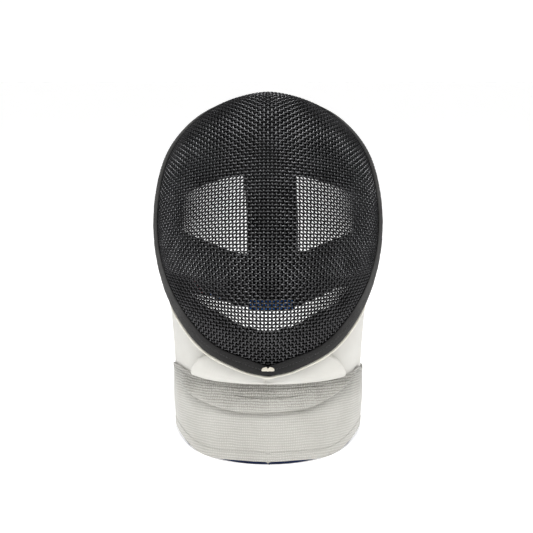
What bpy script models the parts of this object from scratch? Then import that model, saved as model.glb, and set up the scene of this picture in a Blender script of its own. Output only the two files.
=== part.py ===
"""Fencing mask: a domed front of woven wire with a padded edge trim, a stiff cloth bib,
black inner pads, a back tongue and an elastic back strap.

It stands upright on the lower edge of its bib, with its face towards -Y.
Lengths are in metres. Sections and folds are short tables of shares of the named sizes.
"""

import math
from collections import namedtuple

import bmesh
import bpy
import numpy as np

# Driving sizes of the wire mesh
MESH_LENGTH = 0.271        # straight, from its edge at the chin to its edge behind the crown
MESH_HALF_WIDTH = 0.103    # at its edge beside the jaw
MESH_CREST = 0.0728        # height of its middle line over the plane through chin and crown
MESH_LEAN = 35.0           # degrees that this plane leans back
MESH_WALL = 0.0020
MESH_RIDGE = 0.17          # share of a section's fall that runs straight down from the ridge
RIDGE_ROUNDING = 0.09      # share of the half width over which the ridge is rounded
CHIN_HEIGHT = 0.0854       # of the wire mesh's edge at the chin, above the surface it stands on

# Driving sizes of the trim and the piping
TRIM_GRIP = 0.0105         # how far each leg reaches over the mesh from its edge
TRIM_RIM = 0.0029          # how far it stands out beyond the mesh's edge
TRIM_FACE = 0.0050         # from the mesh's middle to the trim's outer face
TRIM_BACK = 0.0033         # from the mesh's middle to the trim's inner face
PIPING_RADIUS = 0.0012
PIPING_OUT = 0.0058        # of its middle from the mesh's middle
PIPING_END = 70.0          # degrees round the edge from the chin

# Driving sizes of the bib
BIB_HALF_WIDTH = 0.0877
BIB_DEPTH = 0.108          # from its front to its rear corners, on the surface it stands on
BIB_SQUARENESS = 1.05      # 1 gives an ellipse on the surface, more a flatter front
BIB_FLARE = 2.7            # power of the height by which it leaves the upright for the mesh
BIB_FRONT = 0.0023         # how far its middle line stands behind the mesh's chin edge
BIB_END = 95.0             # degrees round the mesh's edge where its rear corners are
BIB_WALL = 0.0020
BIB_TUCK = 0.0046          # of its upper edge beyond the mesh's edge
BIB_INSET = 0.0025         # of its upper edge behind the mesh's middle
LAME_TOP_FRONT = 0.0735
LAME_TOP_REAR = 0.0640
LAME_WALL = 0.0010
LINING_WALL = 0.0010
PANEL_WALL = 0.0010
PANEL_LOW_REACH = 0.54     # shares of the way round to the rear corners
PANEL_TOP_REACH = 0.40
LAME_TOP_BOW = 1.5         # power of the way round by which the lame's top drops to the rear
FOLD_DEPTH = 0.0030        # of the fold across the lame's front
FOLD_SPREAD = 0.62         # half turns that the fold's fading takes to the rear corners
FOLD_FADE = 0.7            # power of that fading, less than 1 for a broad fold

# Driving sizes of the pads
PAD_WALL = 0.0050
CROWN_PAD_WALL = 0.0070
PAD_MARGIN = 0.0120        # of the pads' outer edges from the mesh's edge
CROWN_PAD_REAR = 0.0175    # the same behind the crown, where the tongue's root lies
CROWN_PAD_FRONT = 98.0     # degrees along the mesh from the chin
CROWN_PAD_BLEND = 6        # power by which its margin changes towards the tongue's root
CROWN_PAD_END = 1.2        # degrees that its rear row stops short of the margin
CHEEK_PAD_GAP = 1.6        # degrees between the crown pad and the cheek pads
CHEEK_PAD_LOW = 57.0
CHIN_PAD_HIGH = 54.5
CHIN_PAD_REACH = 34.0      # degrees in from the mesh's edge
CHEEK_PAD_REACH = 39.5

# Driving sizes of the tongue and the strap
TONGUE_HALF_WIDTH = 0.0268
TONGUE_WALL = 0.0070
TONGUE_DROP = 0.197        # of its end below the crown's rear edge
TONGUE_REACH = 0.0200      # of its furthest point behind the crown's rear edge
TONGUE_ROOT = 0.0145       # how far its root reaches in under the mesh
PATCH_HALF_WIDTH = 0.0215
PATCH_HEIGHT = 0.0100
PATCH_RISE = 0.0030        # of its lower edge above the tongue's end
PATCH_WALL = 0.0010
STRAP_WALL = 0.0020
STRAP_TOP_END = 97.0       # degrees round the mesh's edge where its upper edge is sewn
STRAP_LOW_END = 69.0
STRAP_HEIGHT = 0.0495      # at the middle of the back
STRAP_TOP_DROP = 0.1495    # of its upper edge behind the tongue, below the crown's rear edge
STRAP_SLACK = 0.0012       # between the strap and the tongue's back
STRAP_SEAM = 0.35          # share of the trim's grip at which its ends are sewn

# Small sizes
GAP = 0.0003               # between pieces that touch
LAYER_GAP = 0.0006         # between the bib's layers, whose faces follow each other loosely
PANEL_GAP = 0.0010         # between the bib's wall and the panel on it
SLOT_GAP = 0.0005          # between the mesh and the trim that grips it
PAD_GAP = 0.0012           # between the mesh and its pads, whose faces follow it loosely
ROOT_GAP = 0.0011          # between the trim behind the crown and the tongue under it
TAB_HALF_ANGLE = 4.6       # degrees round the edge at the chin
TAB_HEIGHT = 0.0032
TAB_WALL = 0.0012
TAB_TIP = 0.25             # share of its height at its ends
TAB_PLACE = 0.0089         # of its middle from the mesh's edge

EDGE_SPOKES = 64
BIB_STATIONS = 28
MESH_RINGS = [0.11, 0.23, 0.36, 0.50, 0.64, 0.79, 0.92]    # shares of the way to its middle

Section = namedtuple("Section", "along half_width edge crest")

# The wire mesh's sections at even steps of the half turn from the chin to behind the crown.
# along is a share of MESH_LENGTH, half_width of MESH_HALF_WIDTH, and edge and crest,
# the heights of a section's ends and middle over the plane, are shares of MESH_CREST.
DOME_SECTIONS = [
    Section(0.000, 0.000, 0.000, 0.000),
    Section(0.024, 0.215, -0.030, 0.210),
    Section(0.095, 0.520, -0.115, 0.580),
    Section(0.206, 0.740, -0.235, 0.833),
    Section(0.345, 0.905, -0.385, 0.972),
    Section(0.500, 0.989, -0.385, 1.000),
    Section(0.655, 0.980, -0.228, 0.971),
    Section(0.794, 0.880, -0.099, 0.858),
    Section(0.905, 0.652, -0.029, 0.689),
    Section(0.976, 0.342, -0.030, 0.352),
    Section(1.000, 0.000, -0.005, -0.005),
]

BibRow = namedtuple("BibRow", "level fold")

# Rows of the bib from its lower edge up. Up to 1 level is a share of the lame's height,
# and above it 1 plus a share of the rest. fold is a share of FOLD_DEPTH, outwards.
BIB_ROWS = [
    BibRow(0.00, 0.00),
    BibRow(0.03, 0.00),
    BibRow(0.12, 0.00),
    BibRow(0.28, 0.40),
    BibRow(0.44, 0.55),
    BibRow(0.56, 0.25),
    BibRow(0.65, -0.75),
    BibRow(0.73, 0.30),
    BibRow(0.83, 1.00),
    BibRow(0.92, 0.70),
    BibRow(1.00, 0.20),
    BibRow(1.08, 0.20),
    BibRow(1.30, 0.10),
    BibRow(1.60, 0.00),
    BibRow(1.80, 0.00),
    BibRow(2.00, 0.00),
]
LIFTED_ROW = 1
LAME_TOP_ROW = 10
PANEL_LOW_ROW = 11
PANEL_TOP_ROW = 14

TongueRow = namedtuple("TongueRow", "down back width arch")

# The tongue below the crown's rear edge: shares of its drop, reach and half width, and how
# much of the crown's arch across it still has there.
TONGUE_ROWS = [
    TongueRow(0.03, 0.25, 0.74, 0.85),
    TongueRow(0.08, 0.72, 0.90, 0.50),
    TongueRow(0.18, 1.00, 1.00, 0.15),
    TongueRow(0.36, 1.00, 1.00, 0.00),
    TongueRow(0.56, 0.66, 1.00, 0.00),
    TongueRow(0.76, 0.10, 1.00, 0.00),
    TongueRow(0.94, -0.55, 0.98, 0.00),
    TongueRow(0.98, -0.68, 0.88, 0.00),
    TongueRow(1.00, -0.74, 0.66, 0.00),
]
TONGUE_ROOT_WIDTH = 0.62   # share of the tongue's half width at its root

StrapRow = namedtuple("StrapRow", "across back down")

# The strap from the tongue's side to one end: shares of the way across, back and down.
STRAP_ROWS = [
    StrapRow(0.00, 1.00, 1.00),
    StrapRow(0.12, 0.985, 0.95),
    StrapRow(0.36, 0.86, 0.75),
    StrapRow(0.62, 0.64, 0.50),
    StrapRow(0.86, 0.32, 0.22),
    StrapRow(1.00, 0.00, 0.00),
]
STRAP_FREE = 0.0015        # of the strap's flat middle past each side of the tongue

# Corners of the trim's section: along the mesh from its edge, and out from its middle.
SLOT = MESH_WALL / 2 + SLOT_GAP
TRIM_SECTION = [
    (TRIM_GRIP, SLOT),
    (TRIM_GRIP, TRIM_FACE * 0.72),
    (TRIM_GRIP * 0.80, TRIM_FACE * 0.98),
    (0.0, TRIM_FACE),
    (-TRIM_RIM * 0.7, TRIM_FACE * 0.80),
    (-TRIM_RIM, TRIM_FACE * 0.42),
    (-TRIM_RIM, -TRIM_BACK * 0.5),
    (-TRIM_RIM * 0.6, -TRIM_BACK * 0.95),
    (TRIM_GRIP * 0.90, -TRIM_BACK),
    (TRIM_GRIP, -TRIM_BACK * 0.78),
    (TRIM_GRIP, -SLOT),
    (-SLOT_GAP, -SLOT),
    (-SLOT_GAP, SLOT),
]

COLOURS = {
    "wire_mesh": ((0.020, 0.020, 0.021), 0.42, 0.6),
    "edge_trim": ((0.045, 0.044, 0.044), 0.75, 0.0),
    "bib_piping": ((0.80, 0.77, 0.68), 0.80, 0.0),
    "chin_tab": ((0.78, 0.74, 0.64), 0.80, 0.0),
    "bib_body": ((0.80, 0.79, 0.74), 0.85, 0.0),
    "bib_front_panel": ((0.80, 0.79, 0.74), 0.85, 0.0),
    "bib_lame": ((0.55, 0.54, 0.50), 0.45, 0.6),
    "bib_lining": ((0.010, 0.030, 0.120), 0.80, 0.0),
    "pad": ((0.018, 0.018, 0.019), 0.90, 0.0),
    "tongue": ((0.020, 0.020, 0.022), 0.85, 0.0),
    "tongue_patch": ((0.015, 0.085, 0.420), 0.70, 0.0),
    "back_strap": ((0.022, 0.022, 0.024), 0.85, 0.0),
}


def clear_scene():
    for item in list(bpy.data.objects):
        bpy.data.objects.remove(item, do_unlink=True)


def new_collection(name):
    collection = bpy.data.collections.new(name)
    bpy.context.scene.collection.children.link(collection)
    return collection


def material(name):
    colour, roughness, metallic = COLOURS[name]
    finish = bpy.data.materials.new(name)
    finish.use_nodes = True
    shader = finish.node_tree.nodes["Principled BSDF"]
    shader.inputs["Base Color"].default_value = (*colour, 1.0)
    shader.inputs["Roughness"].default_value = roughness
    shader.inputs["Metallic"].default_value = metallic
    finish.diffuse_color = (*colour, 1.0)
    return finish


def unit(vector):
    return vector / np.linalg.norm(vector)


def smooth_row(rows, place):
    """Read a table between its rows on a smooth curve. place counts rows from 0."""
    last = len(rows) - 2
    start = min(max(int(math.floor(place)), 0), last)
    part = place - start
    before, after = rows[start - 1] if start > 0 else 2 * rows[0] - rows[1], rows[start + 1]
    beyond = rows[start + 2] if start < last else 2 * rows[-1] - rows[-2]
    here = rows[start]
    return 0.5 * (2 * here + (after - before) * part
                  + (2 * before - 5 * here + 4 * after - beyond) * part ** 2
                  + (3 * here - before - 3 * after + beyond) * part ** 3)


def dome_table():
    """The dome's sections with one more row, which rounds the dome off behind the crown."""
    rows = [np.array(section) for section in DOME_SECTIONS]
    mirrored = rows[-2].copy()
    mirrored[1] = 2 * rows[-1][1] - rows[-2][1]
    mirrored[3] = 2 * rows[-1][3] - rows[-2][3]
    return rows + [mirrored]


DOME_ROWS = dome_table()
LEAN = math.radians(MESH_LEAN)
UP_THE_PLANE = np.array([0.0, math.sin(LEAN), math.cos(LEAN)])
OUT_OF_PLANE = np.array([0.0, -math.cos(LEAN), math.sin(LEAN)])
CHIN = np.array([0.0, 0.0, CHIN_HEIGHT])


def dome_point(turn, side):
    """A point on the middle of the mesh's wall. turn runs from 0 at the chin to pi behind
    the crown, and side from -1 to 1 across, from edge to edge."""
    place = turn / math.pi * (len(DOME_SECTIONS) - 1)
    along, half_width, edge, crest = smooth_row(DOME_ROWS, place)
    side = max(-1.0, min(1.0, side))
    straight = math.sqrt(side ** 2 + RIDGE_ROUNDING ** 2) - RIDGE_ROUNDING
    straight /= math.sqrt(1 + RIDGE_ROUNDING ** 2) - RIDGE_ROUNDING
    fall = MESH_RIDGE * straight + (1 - MESH_RIDGE) * (1 - math.sqrt(1 - side ** 2))
    height = crest + (edge - crest) * fall
    return (CHIN + np.array([MESH_HALF_WIDTH * half_width * side, 0, 0])
            + UP_THE_PLANE * MESH_LENGTH * along + OUT_OF_PLANE * MESH_CREST * height)


def dome_polar(spoke, inward):
    """The same surface from its edge inwards: spoke is the angle round from the chin, and
    inward runs from 0 at the edge to a quarter turn at the middle of the face."""
    ring = math.cos(inward)
    turn = math.acos(max(-1.0, min(1.0, ring * math.cos(spoke))))
    across = ring * math.sin(spoke)
    side = across / max(math.sin(turn), abs(across), 1e-9)
    return dome_point(turn, side)


def edge_speed(spoke):
    step = 0.02
    return np.linalg.norm(dome_polar(spoke, step) - dome_polar(spoke, 0)) / step


def near_edge(spoke, distance):
    """A point on the mesh at a distance in from its edge, or beyond it if negative."""
    if distance >= 0:
        return dome_polar(spoke, distance / edge_speed(spoke))
    return dome_polar(spoke, 0) + distance * edge_inward(spoke)


def edge_inward(spoke):
    along = unit(dome_polar(spoke + 0.03, 0) - dome_polar(spoke - 0.03, 0))
    inward = dome_polar(spoke, 0.03) - dome_polar(spoke, 0)
    return unit(inward - along * np.dot(inward, along))


def normal_near_edge(spoke, distance):
    """The outward normal of the mesh at a distance in from its edge."""
    along = near_edge(spoke + 0.03, max(distance, 0)) - near_edge(spoke - 0.03, max(distance, 0))
    inward = (near_edge(spoke, max(distance, 0) + 0.0012)
              - near_edge(spoke, max(distance, 0)))
    return unit(np.cross(along, inward))


def edge_offset(spoke, along, out):
    """A point given along the mesh from its edge and out from its middle."""
    return near_edge(spoke, along) + normal_near_edge(spoke, along) * out


def grid_normals(grid, closed=False):
    """A normal for each point of a grid of rows, pointing away from the mask's inside."""
    rows, columns = grid.shape[:2]
    normals = np.zeros_like(grid)
    for row in range(rows):
        for column in range(columns):
            up = grid[min(row + 1, rows - 1), column] - grid[max(row - 1, 0), column]
            if closed:
                across = grid[row, (column + 1) % columns] - grid[row, column - 1]
            else:
                across = (grid[row, min(column + 1, columns - 1)]
                          - grid[row, max(column - 1, 0)])
            normals[row, column] = unit(np.cross(across, up))
    return normals


def object_from(name, vertices, faces, finish):
    mesh = bpy.data.meshes.new(name)
    mesh.from_pydata([tuple(float(value) for value in vertex) for vertex in vertices],
                     [], faces)
    mesh.update()
    body = bmesh.new()
    body.from_mesh(mesh)
    bmesh.ops.remove_doubles(body, verts=body.verts, dist=0.00005)
    bmesh.ops.recalc_face_normals(body, faces=body.faces)
    body.to_mesh(mesh)
    body.free()
    mesh.materials.append(finish)
    item = bpy.data.objects.new(name, mesh)
    PARTS.objects.link(item)
    item.parent = MASK
    return item


def thicken(item, wall):
    shell = item.modifiers.new("wall", "SOLIDIFY")
    shell.thickness = wall
    shell.offset = 0.0
    shell.use_even_offset = True
    return item


def cloth_object(name, grid, wall, finish):
    """An open surface through a grid of points, with a wall of even thickness."""
    rows, columns = grid.shape[:2]
    faces = []
    for row in range(rows - 1):
        for column in range(columns - 1):
            corner = row * columns + column
            faces.append((corner, corner + 1, corner + columns + 1, corner + columns))
    return thicken(object_from(name, grid.reshape(-1, 3), faces, finish), wall)


def make_wire_mesh():
    """Rings round the middle of the face. The two outermost run beside the edge, where
    the trim grips."""
    grips = [0.0, TRIM_GRIP]
    spokes = [2 * math.pi * index / EDGE_SPOKES for index in range(EDGE_SPOKES)]
    vertices = [near_edge(spoke, grip) for grip in grips for spoke in spokes]
    for share in MESH_RINGS:
        for spoke in spokes:
            start = TRIM_GRIP / edge_speed(spoke)
            vertices.append(dome_polar(spoke, start + (math.pi / 2 - start) * share))
    vertices.append(dome_polar(0, math.pi / 2))
    rings = len(grips) + len(MESH_RINGS)
    faces = []
    for ring in range(rings - 1):
        for index in range(EDGE_SPOKES):
            after = (index + 1) % EDGE_SPOKES
            faces.append((ring * EDGE_SPOKES + index, ring * EDGE_SPOKES + after,
                          (ring + 1) * EDGE_SPOKES + after, (ring + 1) * EDGE_SPOKES + index))
    middle = rings * EDGE_SPOKES
    inner = (rings - 1) * EDGE_SPOKES
    for index in range(EDGE_SPOKES):
        faces.append((inner + index, inner + (index + 1) % EDGE_SPOKES, middle))
    shell = object_from("wire_mesh", vertices, faces, material("wire_mesh"))
    return thicken(shell, MESH_WALL)


def make_edge_trim():
    """The folded binding: its section carried once round the mesh's edge."""
    corners = len(TRIM_SECTION)
    vertices = []
    faces = []
    for index in range(EDGE_SPOKES):
        spoke = 2 * math.pi * index / EDGE_SPOKES
        vertices += [edge_offset(spoke, along, out) for along, out in TRIM_SECTION]
        after = (index + 1) % EDGE_SPOKES
        for corner in range(corners):
            following = (corner + 1) % corners
            faces.append((index * corners + corner, index * corners + following,
                          after * corners + following, after * corners + corner))
    return object_from("edge_trim", vertices, faces, material("edge_trim"))


def make_bib_piping():
    beyond = TRIM_RIM + GAP + PIPING_RADIUS
    count = 38
    ends = math.radians(PIPING_END)
    route = bpy.data.curves.new("bib_piping", "CURVE")
    route.dimensions = "3D"
    route.bevel_depth = PIPING_RADIUS
    route.bevel_resolution = 1
    route.use_fill_caps = True
    line = route.splines.new("POLY")
    line.points.add(count)
    for index in range(count + 1):
        spoke = ends * (2 * index / count - 1)
        place = near_edge(spoke, -beyond) + normal_near_edge(spoke, 0) * PIPING_OUT
        line.points[index].co = (*place, 1.0)
    route.materials.append(material("bib_piping"))
    item = bpy.data.objects.new("bib_piping", route)
    PARTS.objects.link(item)
    item.parent = MASK
    return item


def make_chin_tab():
    """A small lens shaped tab that lies on the trim where its two sides meet."""
    columns = 9
    grid = np.zeros((4, columns, 3))
    for column in range(columns):
        share = 2 * column / (columns - 1) - 1
        spoke = math.radians(TAB_HALF_ANGLE) * share
        half = TAB_HEIGHT / 2 * (TAB_TIP + (1 - TAB_TIP) * math.sqrt(1 - share ** 2))
        for row in range(4):
            along = TAB_PLACE + half * (2 * row / 3 - 1)
            out = TRIM_FACE + GAP + TAB_WALL / 2
            grid[row, column] = edge_offset(spoke, along, out)
    return cloth_object("chin_tab", grid, TAB_WALL, material("chin_tab"))


def bib_floor(share):
    """The bib's middle line on the surface that it stands on. share runs from -1 to 1."""
    turn = abs(share) * math.pi / 2
    back = (1 - math.cos(turn)) ** BIB_SQUARENESS
    return np.array([math.copysign(BIB_HALF_WIDTH * math.sin(turn), share),
                     BIB_FRONT + BIB_DEPTH * back, 0.0])


def bib_point(share, row):
    level, fold = BIB_ROWS[row]
    spoke = math.radians(BIB_END) * share
    low = bib_floor(share)
    high = near_edge(spoke, -BIB_TUCK) - normal_near_edge(spoke, 0) * BIB_INSET
    lame_top = LAME_TOP_FRONT + (LAME_TOP_REAR - LAME_TOP_FRONT) * abs(share) ** LAME_TOP_BOW
    height = lame_top * level if level <= 1 else lame_top + (high[2] - lame_top) * (level - 1)
    rise = height / high[2]
    flare = rise ** BIB_FLARE
    point = low + (high - low) * np.array([flare, flare, rise])
    outward = unit(np.array([math.sin(share * math.pi / 2), -math.cos(share * math.pi / 2), 0]))
    fade = max(0.0, math.cos(share * math.pi * FOLD_SPREAD)) ** FOLD_FADE
    return point + outward * FOLD_DEPTH * fold * fade


def bib_grid(reaches, first=0):
    """Rows of the bib's middle surface from first up, each as far round as its reach."""
    grid = np.zeros((len(reaches), BIB_STATIONS + 1, 3))
    for row, reach in enumerate(reaches):
        for station in range(BIB_STATIONS + 1):
            share = reach * (2 * station / BIB_STATIONS - 1)
            grid[row, station] = bib_point(share, first + row)
    return grid


def bib_layer(name, first, last, out, wall):
    """One layer of the bib, out from its middle surface."""
    grid = bib_grid([1.0] * len(BIB_ROWS))
    layer = (grid + grid_normals(grid) * out)[first:last + 1]
    return cloth_object(name, layer, wall, material(name))


def make_bib():
    top = len(BIB_ROWS) - 1
    side = BIB_WALL / 2 + LAYER_GAP
    bib_layer("bib_body", LIFTED_ROW, top, 0.0, BIB_WALL)
    bib_layer("bib_lame", LIFTED_ROW, LAME_TOP_ROW, side + LAME_WALL / 2, LAME_WALL)
    bib_layer("bib_lining", 0, top - 1, -side - LINING_WALL / 2, LINING_WALL)


def make_front_panel():
    """The raised panel under the chin, narrower at the trim than above the lame."""
    low, high = BIB_ROWS[PANEL_LOW_ROW].level, BIB_ROWS[PANEL_TOP_ROW].level
    reaches = [PANEL_LOW_REACH + (PANEL_TOP_REACH - PANEL_LOW_REACH)
               * (row.level - low) / (high - low)
               for row in BIB_ROWS[PANEL_LOW_ROW:PANEL_TOP_ROW + 1]]
    grid = bib_grid(reaches, PANEL_LOW_ROW)[:, ::2]
    grid = grid + grid_normals(grid) * (BIB_WALL / 2 + PANEL_GAP + PANEL_WALL / 2)
    cloth_object("bib_front_panel", grid, PANEL_WALL, material("bib_front_panel"))


def inside_mesh(turn, side, depth):
    """The middle of a pad of this depth that lies against the mesh's inside."""
    step = 0.02
    here = dome_point(turn, side)
    up = dome_point(min(turn + step, math.pi), side) - dome_point(turn - step, side)
    low, high = max(-1.0, side - step), min(1.0, side + step)
    across = dome_point(turn, high) - dome_point(turn, low)
    return here - unit(np.cross(across, up)) * (MESH_WALL / 2 + PAD_GAP + depth / 2)


def polar_to_section(spoke, inward):
    """The turn and side of a point that is given from the mesh's edge inwards."""
    ring = math.cos(inward)
    turn = math.acos(max(-1.0, min(1.0, ring * math.cos(spoke))))
    return turn, ring * math.sin(spoke) / max(math.sin(turn), 1e-9)


def edge_pad(name, first, last, columns, reach, finish):
    """A pad beside the trim, on spokes from first to last degrees round the mesh's edge."""
    rows = 4
    grid = np.zeros((rows + 1, columns + 1, 3))
    for column in range(columns + 1):
        spoke = math.radians(first + (last - first) * column / columns)
        start = PAD_MARGIN / edge_speed(spoke)
        for row in range(rows + 1):
            inward = start + (math.radians(reach) - start) * row / rows
            turn, side = polar_to_section(spoke, inward)
            grid[row, column] = inside_mesh(turn, side, PAD_WALL)
    return cloth_object(name, grid, PAD_WALL, finish)


def crown_pad_limits():
    """How far to each side the crown pad reaches, as sides against turns."""
    turns, sides = [], []
    for step in range(41):
        spoke = math.pi * (0.5 + 0.5 * step / 40)
        nearness = max(0.0, -math.cos(spoke)) ** CROWN_PAD_BLEND
        margin = PAD_MARGIN + (CROWN_PAD_REAR - PAD_MARGIN) * nearness
        turn, side = polar_to_section(spoke, margin / edge_speed(spoke))
        turns.append(turn)
        sides.append(side)
    return turns, sides


def make_pads():
    finish = material("pad")
    turns, sides = crown_pad_limits()
    front, rear = math.radians(CROWN_PAD_FRONT), turns[-1] - math.radians(CROWN_PAD_END)
    rows, columns = 8, 20
    grid = np.zeros((rows + 1, columns + 1, 3))
    for row in range(rows + 1):
        turn = front + (rear - front) * row / rows
        spread = math.asin(np.interp(turn, turns, sides))
        for column in range(columns + 1):
            side = math.sin(spread * (2 * column / columns - 1))
            grid[row, column] = inside_mesh(turn, side, CROWN_PAD_WALL)
    cloth_object("crown_pad", grid, CROWN_PAD_WALL, finish)
    high = CROWN_PAD_FRONT - CHEEK_PAD_GAP
    edge_pad("cheek_pad_right", CHEEK_PAD_LOW, high, 8, CHEEK_PAD_REACH, finish)
    edge_pad("cheek_pad_left", -high, -CHEEK_PAD_LOW, 8, CHEEK_PAD_REACH, finish)
    edge_pad("chin_pad", -CHIN_PAD_HIGH, CHIN_PAD_HIGH, 20, CHIN_PAD_REACH, finish)


def tongue_line():
    """Rows of the tongue's middle from its root under the mesh to its end. Each is a point,
    a half width and a share of the crown's arch."""
    under = TRIM_BACK + ROOT_GAP + TONGUE_WALL / 2
    rows = []
    for along in (TONGUE_ROOT, TONGUE_ROOT * 0.5, 0.0):
        root = edge_offset(math.pi, along, -under)
        rows.append(np.array([*root, TONGUE_HALF_WIDTH * TONGUE_ROOT_WIDTH, 1.0]))
    crown = rows[-1][:3]
    for row in TONGUE_ROWS:
        place = crown + np.array([0, TONGUE_REACH * row.back, -TONGUE_DROP * row.down])
        rows.append(np.array([*place, TONGUE_HALF_WIDTH * row.width, row.arch]))
    last = len(rows) - 1
    return [smooth_row(rows, step / 2) for step in range(2 * last + 1)]


def crown_arch(across):
    """How far the mesh's rear edge has dropped and moved at a distance from its middle."""
    step = 0.05
    speed = np.linalg.norm(dome_polar(math.pi - step, 0) - dome_polar(math.pi, 0)) / step
    shift = (edge_offset(math.pi - abs(across) / speed, 0, -TRIM_BACK)
             - edge_offset(math.pi, 0, -TRIM_BACK))
    return np.array([0.0, shift[1], shift[2]])


def tongue_normals(line):
    """Normals of the tongue's middle line that point backwards, away from the head."""
    normals = []
    for index in range(len(line)):
        along = unit(line[min(index + 1, len(line) - 1)][:3] - line[max(index - 1, 0)][:3])
        normals.append(np.array([0.0, -along[2], along[1]]))
    return normals


def make_tongue():
    line = tongue_line()
    columns = 4
    grid = np.zeros((len(line), columns + 1, 3))
    for index, row in enumerate(line):
        for column in range(columns + 1):
            across = row[3] * (2 * column / columns - 1)
            grid[index, column] = (row[:3] + np.array([across, 0, 0])
                                   + crown_arch(across) * row[4])
    cloth_object("tongue", grid, TONGUE_WALL, material("tongue"))


def make_tongue_patch():
    """The patch on the front of the tongue's lower end."""
    line = [row[:3] for row in tongue_line()]
    normals = tongue_normals(line)
    fronts = np.array([point - normal * (TONGUE_WALL / 2 + GAP + PATCH_WALL / 2)
                       for point, normal in zip(line, normals)])[::-1]
    low = line[-1][2] + PATCH_RISE
    grid = np.zeros((4, 3, 3))
    for row in range(4):
        height = low + PATCH_HEIGHT * row / 3
        depth = np.interp(height, fronts[:, 2], fronts[:, 1])
        for column in range(3):
            grid[row, column] = (PATCH_HALF_WIDTH * (column - 1), depth, height)
    cloth_object("tongue_patch", grid, PATCH_WALL, material("tongue_patch"))


def tongue_back_at(height):
    """How far back the tongue's rear face lies at a height."""
    line = [row[:3] for row in tongue_line()]
    normals = tongue_normals(line)
    backs = [point + normal * TONGUE_WALL / 2 for point, normal in zip(line, normals)]
    lower = [back for back in backs if back[2] <= height]
    upper = [back for back in backs if back[2] > height and back[1] > 0]
    low = max(lower, key=lambda back: back[2]) if lower else backs[-1]
    high = min(upper, key=lambda back: back[2])
    share = (height - low[2]) / (high[2] - low[2]) if high[2] > low[2] else 0.0
    return low[1] + (high[1] - low[1]) * share


def make_back_strap():
    """A band from side to side behind the tongue, sewn to the trim's inside at both ends."""
    inside = TRIM_BACK + LAYER_GAP + STRAP_WALL / 2
    crown = dome_polar(math.pi, 0)
    top_height = crown[2] - STRAP_TOP_DROP
    rows = [np.array(row) for row in STRAP_ROWS]
    curves = []
    for end_angle, height in ((STRAP_LOW_END, top_height - STRAP_HEIGHT),
                              (STRAP_TOP_END, top_height)):
        end = edge_offset(math.radians(end_angle), TRIM_GRIP * STRAP_SEAM, -inside)
        back = tongue_back_at(height) + STRAP_SLACK + STRAP_WALL / 2
        middle = np.array([0.0, back, height])
        flat = TONGUE_HALF_WIDTH + STRAP_FREE
        half = []
        for step in range(2 * len(rows) - 1):
            across, behind, down = smooth_row(rows, step / 2)
            half.append(np.array([flat + (end[0] - flat) * across,
                                  end[1] + (middle[1] - end[1]) * behind,
                                  end[2] + (middle[2] - end[2]) * down]))
        mirrored = [point * np.array([-1, 1, 1]) for point in reversed(half)]
        curves.append(mirrored + [middle] + half)
    low, high = np.array(curves[0]), np.array(curves[1])
    grid = np.stack([low + (high - low) * share for share in (0, 1 / 3, 2 / 3, 1)])
    cloth_object("back_strap", grid, STRAP_WALL, material("back_strap"))


def centre_on_base():
    """Move the mask so that the middle of its box is over the origin."""
    bpy.context.view_layer.update()
    graph = bpy.context.evaluated_depsgraph_get()
    low = np.full(3, np.inf)
    high = np.full(3, -np.inf)
    for item in PARTS.objects:
        shape = item.evaluated_get(graph).to_mesh()
        for vertex in shape.vertices:
            place = np.array(item.matrix_world @ vertex.co)
            low = np.minimum(low, place)
            high = np.maximum(high, place)
        item.evaluated_get(graph).to_mesh_clear()
    MASK.location = (-(low[0] + high[0]) / 2, -(low[1] + high[1]) / 2, -low[2])


clear_scene()
PARTS = new_collection("fencing_mask")
MASK = bpy.data.objects.new("mask", None)
PARTS.objects.link(MASK)
PARTS.objects.unlink(MASK)
bpy.context.scene.collection.objects.link(MASK)

make_wire_mesh()
make_edge_trim()
make_bib_piping()
make_chin_tab()
make_bib()
make_front_panel()
make_pads()
make_tongue()
make_tongue_patch()
make_back_strap()
centre_on_base()
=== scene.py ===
"""Fencing mask: the woven wire front, padded trim, bib, pads, tongue and strap, dressed
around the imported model. It stands on its bib with its face towards -Y. Lengths in metres."""
import math

import bpy
import numpy as np
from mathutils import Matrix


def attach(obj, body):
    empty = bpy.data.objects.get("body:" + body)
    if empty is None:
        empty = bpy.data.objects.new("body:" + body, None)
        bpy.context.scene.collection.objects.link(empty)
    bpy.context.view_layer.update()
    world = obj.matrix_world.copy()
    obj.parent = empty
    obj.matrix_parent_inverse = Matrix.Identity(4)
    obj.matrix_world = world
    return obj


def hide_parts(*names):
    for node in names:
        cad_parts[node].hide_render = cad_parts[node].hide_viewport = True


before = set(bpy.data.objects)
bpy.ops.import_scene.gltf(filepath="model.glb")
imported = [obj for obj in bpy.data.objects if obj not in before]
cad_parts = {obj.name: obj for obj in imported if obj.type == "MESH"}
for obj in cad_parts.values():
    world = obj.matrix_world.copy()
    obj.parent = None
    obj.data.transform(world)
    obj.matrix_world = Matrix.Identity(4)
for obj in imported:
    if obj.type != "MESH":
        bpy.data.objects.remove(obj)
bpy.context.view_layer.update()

QUARTER = math.pi / 2
MM = 0.001

# The mask's main sizes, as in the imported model
CHIN = np.array([0.0, -0.07706, 0.0854])
MESH_LENGTH = 0.271
MESH_HALF_WIDTH = 0.103
MESH_CREST = 0.0728
MESH_RIDGE = 0.17
RIDGE_ROUNDING = 0.09
EDGE_FALL = 0.9            # how fast the mesh is taken to fall away past its edge
EDGE_STEP = 0.03           # radians round or in from the edge between places compared
LEAN = math.radians(35.0)
UP_THE_PLANE = np.array([0.0, math.sin(LEAN), math.cos(LEAN)])
OUT_OF_PLANE = np.array([0.0, -math.cos(LEAN), math.sin(LEAN)])

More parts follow.
